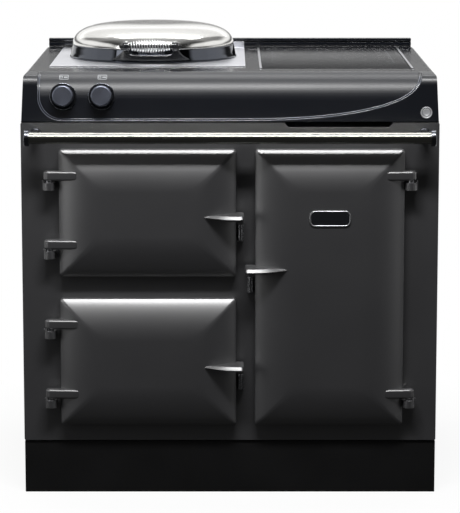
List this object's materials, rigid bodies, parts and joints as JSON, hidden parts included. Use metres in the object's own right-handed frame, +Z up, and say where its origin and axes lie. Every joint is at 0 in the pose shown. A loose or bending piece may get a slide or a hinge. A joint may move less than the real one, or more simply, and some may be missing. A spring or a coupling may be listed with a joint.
{
  "type": "range cooker",
  "caption": "Cast iron range cooker with domed oven doors, lift-up hotplate lid with a coil handle, flat glass hob, curved fascia with knobs, front towel rail and plinth.",
  "frame": {"origin": "centre of the bounding box's footprint, on the floor", "axes": "+Z up, +X to the right as seen from the front, +Y to the back; the doors face -Y"},
  "size_m": [0.896, 0.7754, 0.9963],
  "materials": {
    "matt_black": "matt black powder coat",
    "galvanised": "galvanised sheet",
    "zinc_steel": "zinc plated",
    "satin_charcoal": "satin charcoal vitreous enamel",
    "gloss_black_sheet": "gloss black enamelled sheet",
    "gloss_black": "gloss black vitreous enamel",
    "brushed_steel": "brushed stainless steel",
    "machined_iron": "machined and blackened",
    "black_glass": "gloss black glass ceramic",
    "copper_litz": "lacquered copper winding",
    "black_plastic": "moulded black plastic",
    "polished_steel": "polished stainless steel",
    "dark_chrome": "dark chrome",
    "cream_plastic": "moulded cream plastic",
    "machined_steel": "turned steel",
    "oven_enamel": "speckled oven enamel",
    "oven_enamel_sheet": "speckled oven enamel on sheet steel",
    "heater_sheath": "heat tinted sheath",
    "mineral_wool": "pressed mineral wool",
    "dark_ring": "dark gloss lacquer over spun steel",
    "bright_liner": "bright sheet over insulation",
    "rope_seal": "woven glass rope",
    "knob_metal": "dark anodised, turned face"
  },
  "bodies": {
    "cooker": {"plinth": "matt_black", "base_tray": "galvanised", "levelling_feet": "zinc_steel", "front_plate": "satin_charcoal", "side_panel_left": "gloss_black_sheet", "side_panel_right": "gloss_black_sheet", "back_panel": "galvanised", "back_panel_screws": "zinc_steel", "top_plate": "gloss_black", "fascia_panel": "gloss_black_sheet", "hotplate_surround": "brushed_steel", "hotplate": "machined_iron", "hotplate_pan": "galvanised", "induction_glass": "black_glass", "glass_trims": "brushed_steel", "induction_housing": "galvanised", "induction_coils": "copper_litz", "fan_frame": "black_plastic", "rear_rail": "polished_steel", "handrail": "polished_steel", "handrail_brackets": "dark_chrome", "knob_bezels": "dark_chrome", "energy_regulators": "cream_plastic", "button_bezel": "polished_steel", "hinge_brackets": "satin_charcoal", "hinge_pins": "machined_steel", "latch_keepers": "machined_steel", "roasting_oven": "oven_enamel", "simmering_oven": "oven_enamel", "tall_oven": "oven_enamel_sheet", "oven_shelves": "polished_steel", "heating_rods": "heater_sheath", "insulation_jackets": "mineral_wool", "control_box": "galvanised", "terminal_box": "galvanised", "cable_gland": "black_plastic", "vent_duct": "galvanised", "lid_hinge_bracket": "brushed_steel"},
    "lid": {"lid_shell": "polished_steel", "lid_ring": "dark_ring", "lid_liner": "brushed_steel", "lid_insulation": "mineral_wool", "lid_hinge_arm": "brushed_steel", "lid_handle_brackets": "dark_chrome", "lid_handle_rod": "polished_steel", "lid_handle_coil": "polished_steel"},
    "top_door": {"top_door_shell": "satin_charcoal", "top_door_liner": "bright_liner", "top_door_seal": "rope_seal"},
    "bottom_door": {"bottom_door_shell": "satin_charcoal", "bottom_door_liner": "bright_liner", "bottom_door_seal": "rope_seal"},
    "tall_door": {"tall_door_shell": "satin_charcoal", "tall_door_liner": "bright_liner", "tall_door_seal": "rope_seal", "badge": "polished_steel"},
    "knob_left": {"knob_left": "knob_metal"},
    "knob_right": {"knob_right": "knob_metal"},
    "power_button": {"power_button": "brushed_steel"},
    "fan_rotor": {"fan_rotor": "black_plastic"}
  },
  "joints": [
    {"name": "lid_hinge", "type": "hinge", "parent": "cooker", "child": "lid", "pos_m": [-0.176, 0.33975, 0.946], "axis": [-1, 0, 0], "range_deg": [0, 88]},
    {"name": "top_door_hinge", "type": "hinge", "parent": "cooker", "child": "top_door", "pos_m": [-0.387, -0.33425, 0.62], "axis": [0, 0, -1], "range_deg": [0, 120]},
    {"name": "bottom_door_hinge", "type": "hinge", "parent": "cooker", "child": "bottom_door", "pos_m": [-0.387, -0.33425, 0.296], "axis": [0, 0, -1], "range_deg": [0, 120]},
    {"name": "tall_door_hinge", "type": "hinge", "parent": "cooker", "child": "tall_door", "pos_m": [0.387, -0.33425, 0.457], "axis": [0, 0, 1], "range_deg": [0, 120]},
    {"name": "knob_left_turn", "type": "hinge", "parent": "cooker", "child": "knob_left", "pos_m": [-0.3569, -0.29968, 0.868], "axis": [0, 0.9897, -0.1429], "range_deg": [0, 270]},
    {"name": "knob_right_turn", "type": "hinge", "parent": "cooker", "child": "knob_right", "pos_m": [-0.2746, -0.29968, 0.868], "axis": [0, 0.9897, -0.1429], "range_deg": [0, 270]},
    {"name": "power_button_press", "type": "slide", "parent": "cooker", "child": "power_button", "axis": [0, 1, 0], "range_m": [0, 0.003], "stiffness_N_per_m": 600},
    {"name": "fan_spin", "type": "hinge", "parent": "cooker", "child": "fan_rotor", "pos_m": [0.2325, 0.08675, 0.88], "axis": [0, 0, 1], "continuous": true}
  ]
}
